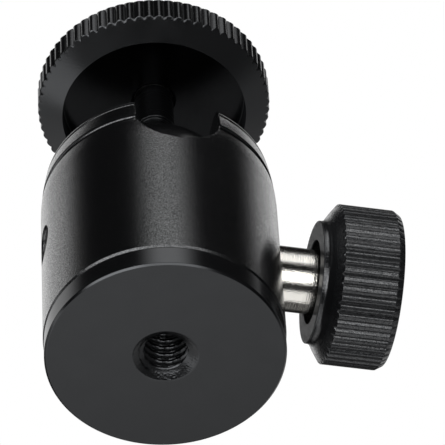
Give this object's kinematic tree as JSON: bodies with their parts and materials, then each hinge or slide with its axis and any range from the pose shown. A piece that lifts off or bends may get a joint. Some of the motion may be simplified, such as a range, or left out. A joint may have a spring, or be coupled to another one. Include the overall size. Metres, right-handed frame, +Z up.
{
  "type": "tripod ball head",
  "caption": "Small tripod ball head with a side notch, a knurled lock knob on a bright shank, a threaded base socket and a knurled platform disc with a camera screw.",
  "frame": {"origin": "centre of the flat base face, at the mouth of the quarter-inch base thread", "axes": "+Z up along the body and the stem at rest, +X along the lock screw towards its knob, the side notch opens towards -Y"},
  "size_m": [0.0431, 0.0294, 0.0574],
  "materials": {
    "body_black": "bead-blasted black anodised",
    "base_black": "smooth black anodised",
    "disc_black": "turned and knurled, black anodised",
    "knob_black": "knurled, dark grey anodised",
    "ball_black": "smooth black anodised",
    "shank_nickel": "turned, bright nickel plated",
    "bright_steel": "turned steel",
    "dark_steel": "black oxide",
    "cup_acetal": "natural acetal",
    "liner_acetal": "black acetal",
    "pad_rubber": "fine ribbed rubber"
  },
  "bodies": {
    "root": {"body_shell": "body_black", "base_plate": "base_black", "side_set_screw": "dark_steel", "cup_spring": "bright_steel", "spring_washer": "bright_steel", "ball_seat_ring": "liner_acetal"},
    "cup": {"pressing_cup": "cup_acetal"},
    "wedge": {"push_pin": "bright_steel"},
    "knob": {"lock_screw": "shank_nickel", "thrust_ball": "bright_steel", "knob_grip": "knob_black", "knob_washer": "bright_steel", "knob_screw": "dark_steel", "knob_key": "bright_steel", "knob_end_cap": "knob_black"},
    "ball": {"ball": "ball_black"},
    "stem": {"stem": "ball_black"},
    "stud": {"camera_screw": "bright_steel"},
    "pad": {"pad_washer": "bright_steel", "rubber_pad": "pad_rubber"},
    "disc": {"platform_disc": "disc_black"}
  },
  "joints": [
    {"name": "knob_turn", "type": "hinge", "parent": "wedge", "child": "knob", "pos_m": [0.02, 0, 0.017], "axis": [1, 0, 0], "range_deg": [0, 360]},
    {"name": "wedge_travel", "type": "slide", "parent": "root", "child": "wedge", "axis": [1, 0, 0], "range_m": [0, 0.00125]},
    {"name": "cup_drop", "type": "slide", "parent": "root", "child": "cup", "axis": [0, 0, -1], "range_m": [0, 0.00025], "deforming": ["cup_spring"]},
    {"name": "ball_tilt", "type": "hinge", "parent": "root", "child": "ball", "pos_m": [0, 0, 0.0286], "axis": [1, 0, 0], "range_deg": [-36, 90]},
    {"name": "stem_lean", "type": "hinge", "parent": "ball", "child": "stem", "pos_m": [0, 0, 0.0286], "axis": [0, 1, 0], "range_deg": [-5.5, 5.5]},
    {"name": "head_pan", "type": "hinge", "parent": "stem", "child": "stud", "pos_m": [0, 0, 0.045], "axis": [0, 0, 1], "continuous": true},
    {"name": "pad_rise", "type": "slide", "parent": "stud", "child": "pad", "axis": [0, 0, 1], "range_m": [0, 0.00127]},
    {"name": "disc_turn", "type": "hinge", "parent": "pad", "child": "disc", "pos_m": [0, 0, 0.049], "axis": [0, 0, 1], "range_deg": [0, 360]}
  ],
  "couplings": [
    {"joint": "wedge_travel", "follows": "knob_turn", "m_per_rad": 0.00019894},
    {"joint": "cup_drop", "follows": "knob_turn", "m_per_rad": 0.000039788},
    {"joint": "pad_rise", "follows": "disc_turn", "m_per_rad": 0.00020212}
  ]
}
